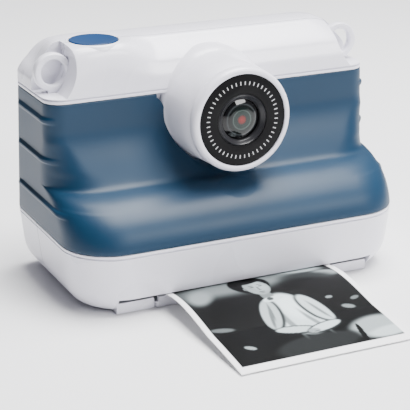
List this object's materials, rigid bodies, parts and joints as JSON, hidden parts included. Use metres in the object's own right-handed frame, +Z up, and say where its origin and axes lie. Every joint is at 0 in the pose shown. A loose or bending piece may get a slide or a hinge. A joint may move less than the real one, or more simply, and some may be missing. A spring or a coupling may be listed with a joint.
{
  "type": "instant print toy camera",
  "caption": "Child's digital camera with a soft grip sleeve, a round lens barrel, a rear screen and keys, and a thermal printer that feeds a print out of the front.",
  "frame": {"origin": "middle of the resting face, on the underside of the base", "axes": "+Z up, -Y the way the lens looks, +X along the width, to the right seen from the front"},
  "size_m": [0.1148, 0.1085, 0.0774],
  "materials": {
    "white_shell": "satin",
    "grip": "matte",
    "black_trim": "gloss",
    "bezel": "satin",
    "lens_glass": "gloss",
    "blue_key": "satin",
    "white_key": "satin",
    "dark_plastic": "matte",
    "soft_pad": "matte",
    "led": "gloss",
    "board": "satin",
    "flex": "satin",
    "panel": "gloss",
    "steel": "satin",
    "heatsink": "satin",
    "battery_wrap": "satin",
    "ceramic": "satin",
    "roller_rubber": "matte",
    "gear_plastic": "satin",
    "brass": "satin",
    "paper": "matte",
    "card": "matte",
    "grey_plastic": "satin"
  },
  "bodies": {
    "housing": {"front_housing": "white_shell", "rear_housing": "white_shell", "grip_sleeve": "grip", "base_plate": "white_shell", "strap_lug_left": "white_shell", "strap_lug_right": "white_shell", "lens_face": "black_trim", "lens_bezel": "bezel", "front_lens": "lens_glass", "lens_tube": "black_trim", "rear_lens": "lens_glass", "lens_holder": "dark_plastic", "sensor_board": "board", "sensor_flex": "flex", "shutter_spring": "steel", "shutter_switch": "dark_plastic", "screen_window": "black_trim", "screen_gasket": "soft_pad", "lcd_panel": "panel", "main_board": "board", "button_mat": "soft_pad", "status_led": "led", "speaker": "dark_plastic", "usb_socket": "steel", "card_socket": "steel", "battery": "battery_wrap", "printer_frame": "dark_plastic", "print_head": "ceramic", "head_heatsink": "heatsink", "head_springs": "steel", "platen_bushes": "gear_plastic", "idler_axle": "steel", "printer_motor": "steel", "motor_bracket": "dark_plastic", "paper_web": "paper", "tear_bar": "steel", "door_hinge_pin": "steel", "housing_screws": "steel", "base_screws": "steel", "board_screws": "steel"},
    "shutter": {"shutter_button": "blue_key"},
    "flap": {"port_flap": "blue_key"},
    "door": {"paper_door": "white_shell"},
    "roll": {"paper_roll": "paper", "roll_core": "card", "roll_spindle": "grey_plastic"},
    "platen": {"platen_roller": "roller_rubber", "platen_shaft": "steel", "platen_gear": "gear_plastic"},
    "idler": {"idler_gear": "gear_plastic"},
    "pinion": {"motor_pinion": "brass"},
    "print": {"print_sheet": "paper"},
    "key_ok": {"ok_button": "blue_key"},
    "key_up": {"up_button": "white_key"},
    "key_down": {"down_button": "white_key"},
    "key_left": {"left_button": "white_key"},
    "key_right": {"right_button": "white_key"},
    "key_menu": {"menu_button": "white_key"},
    "key_print": {"print_button": "blue_key"},
    "key_power": {"power_button": "white_key"}
  },
  "joints": [
    {"name": "shutter_press", "type": "slide", "parent": "housing", "child": "shutter", "axis": [0, 0, -1], "range_m": [0, 0.0012], "stiffness_N_per_m": 500, "deforming": ["shutter_spring"]},
    {"name": "ok_press", "type": "slide", "parent": "housing", "child": "key_ok", "axis": [0, -1, 0], "range_m": [0, 0.0007], "stiffness_N_per_m": 400},
    {"name": "up_press", "type": "slide", "parent": "housing", "child": "key_up", "axis": [0, -1, 0], "range_m": [0, 0.0007], "stiffness_N_per_m": 400},
    {"name": "down_press", "type": "slide", "parent": "housing", "child": "key_down", "axis": [0, -1, 0], "range_m": [0, 0.0007], "stiffness_N_per_m": 400},
    {"name": "left_press", "type": "slide", "parent": "housing", "child": "key_left", "axis": [0, -1, 0], "range_m": [0, 0.0007], "stiffness_N_per_m": 400},
    {"name": "right_press", "type": "slide", "parent": "housing", "child": "key_right", "axis": [0, -1, 0], "range_m": [0, 0.0007], "stiffness_N_per_m": 400},
    {"name": "menu_press", "type": "slide", "parent": "housing", "child": "key_menu", "axis": [0, -1, 0], "range_m": [0, 0.0007], "stiffness_N_per_m": 400},
    {"name": "print_press", "type": "slide", "parent": "housing", "child": "key_print", "axis": [0, -1, 0], "range_m": [0, 0.0007], "stiffness_N_per_m": 400},
    {"name": "power_press", "type": "slide", "parent": "housing", "child": "key_power", "axis": [0, -1, 0], "range_m": [0, 0.0007], "stiffness_N_per_m": 400},
    {"name": "flap_hinge", "type": "hinge", "parent": "housing", "child": "flap", "pos_m": [0.024, 0.0284, 0.007], "axis": [-1, 0, 0], "range_deg": [0, 100]},
    {"name": "door_hinge", "type": "hinge", "parent": "housing", "child": "door", "pos_m": [0, 0.0186, 0.002], "axis": [1, 0, 0], "range_deg": [0, 90]},
    {"name": "roll_spin", "type": "hinge", "parent": "housing", "child": "roll", "pos_m": [0, 0.004, 0.0215], "axis": [1, 0, 0], "continuous": true},
    {"name": "platen_spin", "type": "hinge", "parent": "housing", "child": "platen", "pos_m": [0, -0.015, 0.0052], "axis": [1, 0, 0], "continuous": true},
    {"name": "idler_spin", "type": "hinge", "parent": "housing", "child": "idler", "pos_m": [-0.0329, -0.00954, 0.01466], "axis": [1, 0, 0], "continuous": true},
    {"name": "pinion_spin", "type": "hinge", "parent": "housing", "child": "pinion", "pos_m": [-0.0329, -0.00125, 0.02046], "axis": [1, 0, 0], "continuous": true},
    {"name": "print_pull", "type": "slide", "parent": "housing", "child": "print", "axis": [0, -1, 0], "range_m": [0, 0.03]}
  ],
  "couplings": [
    {"joint": "platen_spin", "follows": "roll_spin", "ratio": 4.6429},
    {"joint": "idler_spin", "follows": "roll_spin", "ratio": -1.625},
    {"joint": "pinion_spin", "follows": "roll_spin", "ratio": 6.5}
  ]
}
